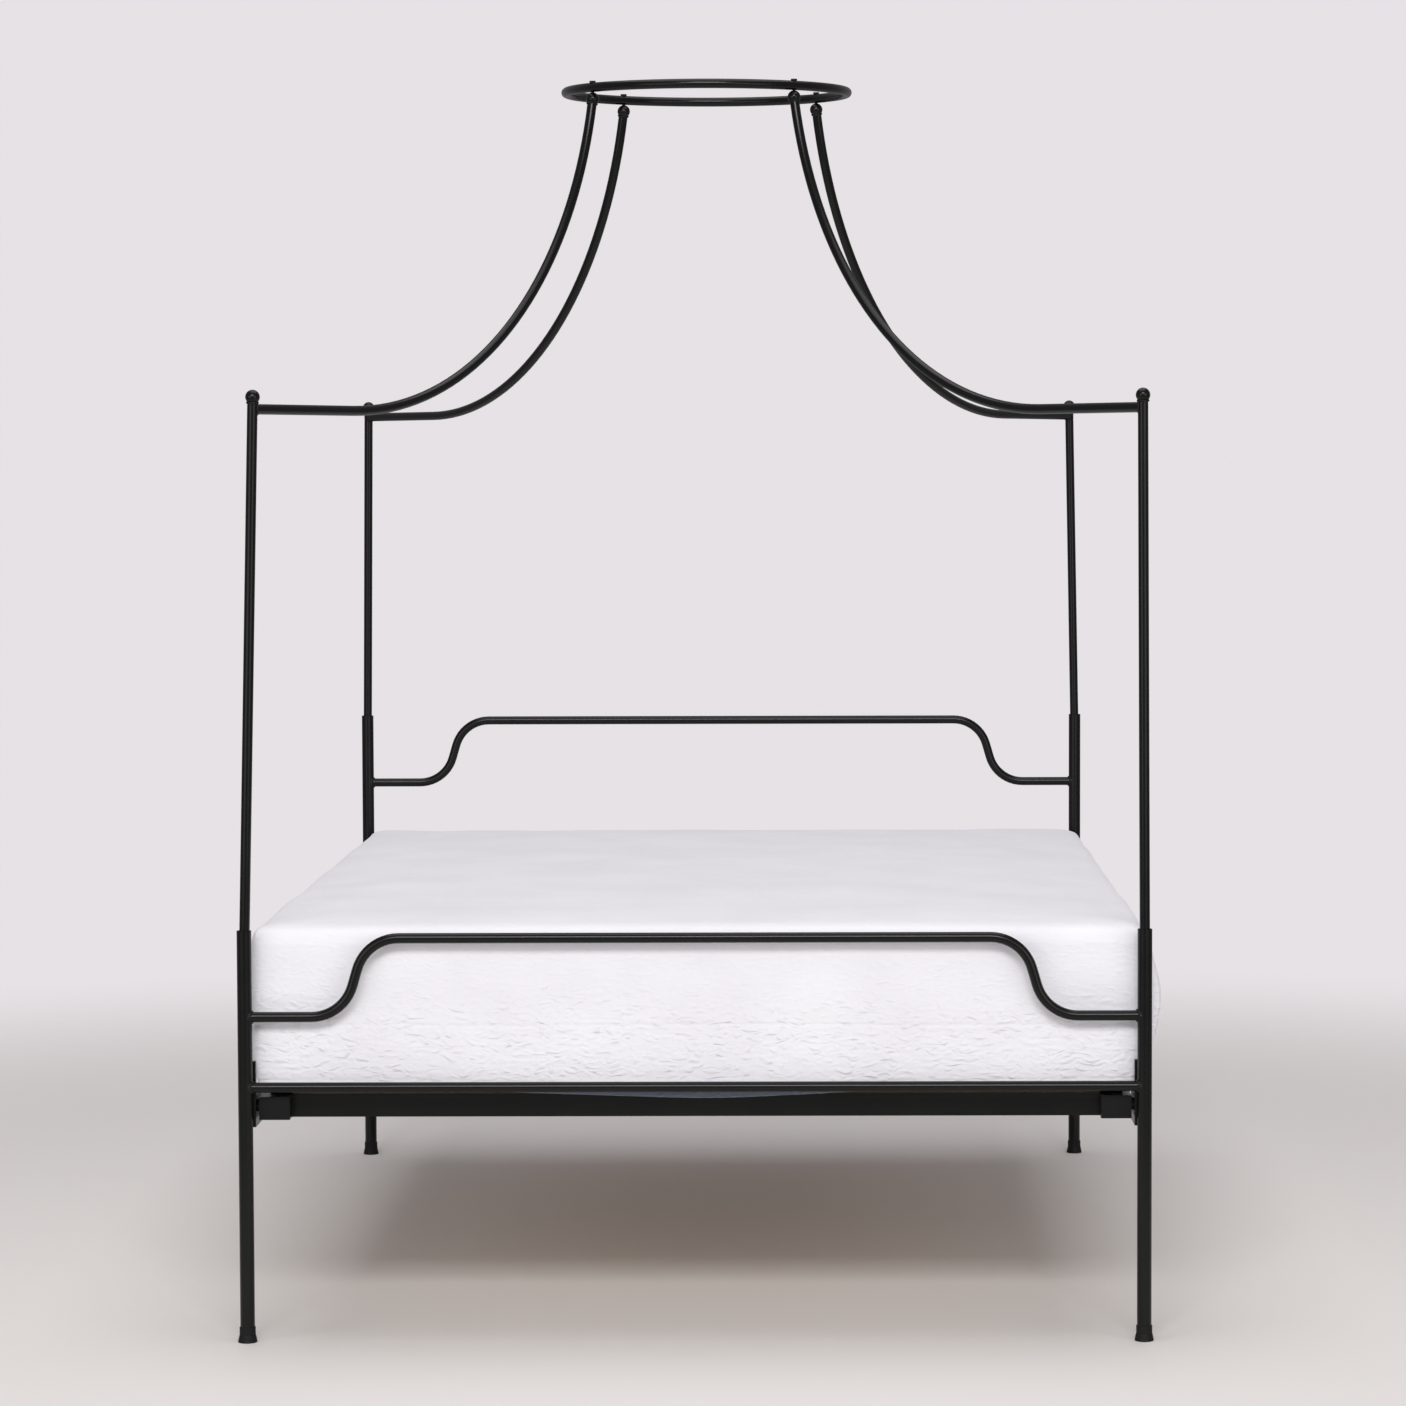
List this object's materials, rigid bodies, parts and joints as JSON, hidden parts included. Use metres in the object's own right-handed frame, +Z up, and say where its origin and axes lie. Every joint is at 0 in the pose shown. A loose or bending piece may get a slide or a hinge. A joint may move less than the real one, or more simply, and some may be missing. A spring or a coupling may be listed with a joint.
{
  "type": "four poster canopy bed",
  "caption": "Tubular steel four poster bed with swan-neck head and foot rails, curved arms rising to a round crown, a slatted base and a covered mattress.",
  "frame": {"origin": "on the floor under the middle of the bed's bounding box", "axes": "+Z up, +Y towards the head end, +X to the right for someone who looks at the bed from its foot end"},
  "size_m": [1.5936, 2.0834, 2.2648],
  "materials": {
    "powder_coat": "satin black powder coat",
    "ferrule_rubber": "moulded black rubber",
    "black_plastic": "moulded black polypropylene",
    "zinc_fastener": "bright zinc plate",
    "birch_slat": "lacquered birch plywood",
    "mattress_cover": "white crinkled matelasse cotton"
  },
  "bodies": {
    "frame": {"lower_post_foot_left": "powder_coat", "lower_post_foot_right": "powder_coat", "lower_post_head_right": "powder_coat", "lower_post_head_left": "powder_coat", "ferrule_foot_left": "ferrule_rubber", "ferrule_foot_right": "ferrule_rubber", "ferrule_head_right": "ferrule_rubber", "ferrule_head_left": "ferrule_rubber", "corner_bracket_foot_left": "powder_coat", "corner_bracket_foot_right": "powder_coat", "corner_bracket_head_right": "powder_coat", "corner_bracket_head_left": "powder_coat", "post_stops": "powder_coat", "foot_top_rail": "powder_coat", "head_top_rail": "powder_coat", "foot_cross_tube": "powder_coat", "head_cross_tube": "powder_coat", "side_rail_left": "powder_coat", "side_rail_right": "powder_coat", "side_rail_caps": "black_plastic", "foot_crossbar": "powder_coat", "head_crossbar": "powder_coat", "centre_rail": "powder_coat", "centre_rail_pad": "ferrule_rubber", "rail_bolts": "zinc_fastener", "rail_nuts": "zinc_fastener", "rail_spacers": "black_plastic", "crossbar_bolts": "zinc_fastener", "slat_01": "birch_slat", "slat_02": "birch_slat", "slat_03": "birch_slat", "slat_04": "birch_slat", "slat_05": "birch_slat", "slat_06": "birch_slat", "slat_07": "birch_slat", "slat_08": "birch_slat", "slat_09": "birch_slat", "slat_10": "birch_slat", "slat_11": "birch_slat", "slat_12": "birch_slat", "slat_13": "birch_slat", "slat_14": "birch_slat", "slat_holders": "black_plastic"},
    "canopy": {"upper_post_foot_left": "powder_coat", "upper_post_foot_right": "powder_coat", "upper_post_head_right": "powder_coat", "upper_post_head_left": "powder_coat", "finial_foot_left": "powder_coat", "finial_foot_right": "powder_coat", "finial_head_right": "powder_coat", "finial_head_left": "powder_coat", "canopy_arm_foot_left": "powder_coat", "canopy_arm_foot_right": "powder_coat", "canopy_arm_head_right": "powder_coat", "canopy_arm_head_left": "powder_coat", "arm_balls": "powder_coat", "crown_ring": "powder_coat", "crown_bolts": "powder_coat"},
    "mattress": {"mattress": "mattress_cover"}
  },
  "joints": [
    {"name": "canopy_lift", "type": "slide", "parent": "frame", "child": "canopy", "axis": [0, 0, 1], "range_m": [0, 0.1]},
    {"name": "mattress_lift", "type": "slide", "parent": "frame", "child": "mattress", "axis": [0, 0, 1], "range_m": [0, 0.3]}
  ]
}
